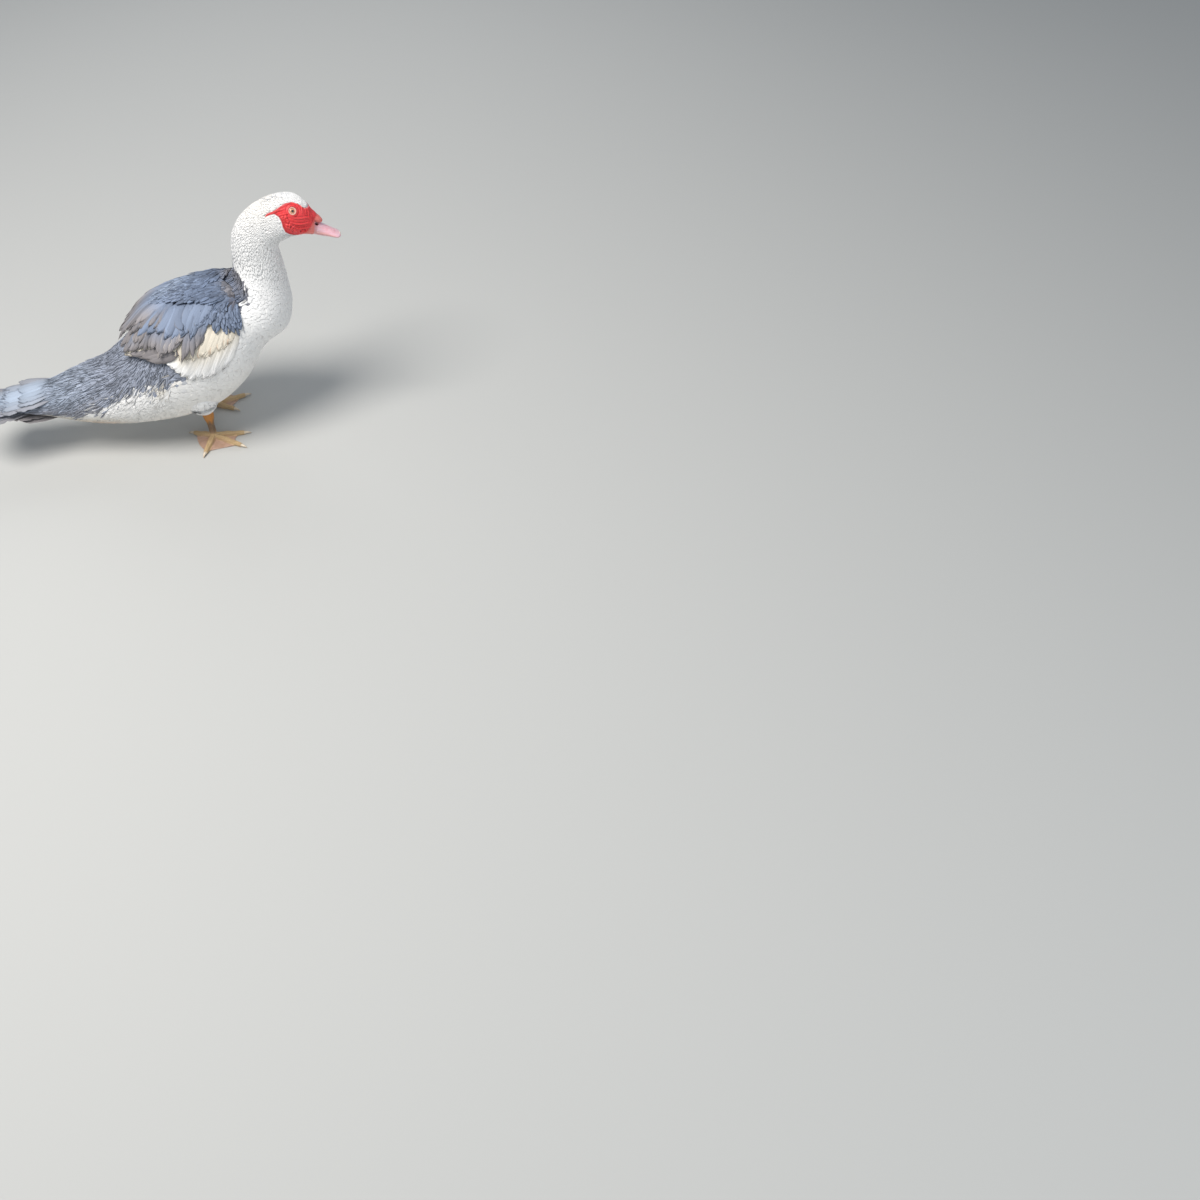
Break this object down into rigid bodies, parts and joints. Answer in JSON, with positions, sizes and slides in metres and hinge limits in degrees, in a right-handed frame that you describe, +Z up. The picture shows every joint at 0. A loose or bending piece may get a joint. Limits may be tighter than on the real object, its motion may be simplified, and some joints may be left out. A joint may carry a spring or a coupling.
{
  "type": "muscovy duck",
  "caption": "Life-size still model of a standing grey and white muscovy drake with a bare red face, head up and tail level.",
  "frame": {"origin": "on the ground under the middle of the bird's box", "axes": "+X towards the bill, +Y to the bird's left, +Z up"},
  "size_m": [0.6394, 0.2078, 0.3952],
  "materials": {
    "white_feather": "soft white contour feathers",
    "grey_feather": "lavender grey feathers, taupe at the wing edge",
    "red_skin": "bare red skin with folds and small bulbs",
    "bill_horn": "smooth pink horn with a pale nail",
    "eye": "glossy amber iris with a dark pupil",
    "shank_skin": "scaled brown-grey skin, orange at the hock",
    "web_skin": "scaled tan-pink skin",
    "claw_horn": "smooth pale horn"
  },
  "bodies": {
    "root": {"bill_lower": "bill_horn", "bill_upper": "bill_horn", "claw_hind_left": "claw_horn", "claw_hind_right": "claw_horn", "claw_inner_left": "claw_horn", "claw_inner_right": "claw_horn", "claw_middle_left": "claw_horn", "claw_middle_right": "claw_horn", "claw_outer_left": "claw_horn", "claw_outer_right": "claw_horn", "eye_left": "eye", "eye_right": "eye", "face": "red_skin", "foot_left": "web_skin", "foot_right": "web_skin", "head": "white_feather", "neck": "white_feather", "shank_left": "shank_skin", "shank_right": "shank_skin", "tail": "grey_feather", "thigh_left": "white_feather", "thigh_right": "white_feather", "torso": "white_feather", "wing_left": "grey_feather", "wing_right": "grey_feather"}
  },
  "joints": []
}
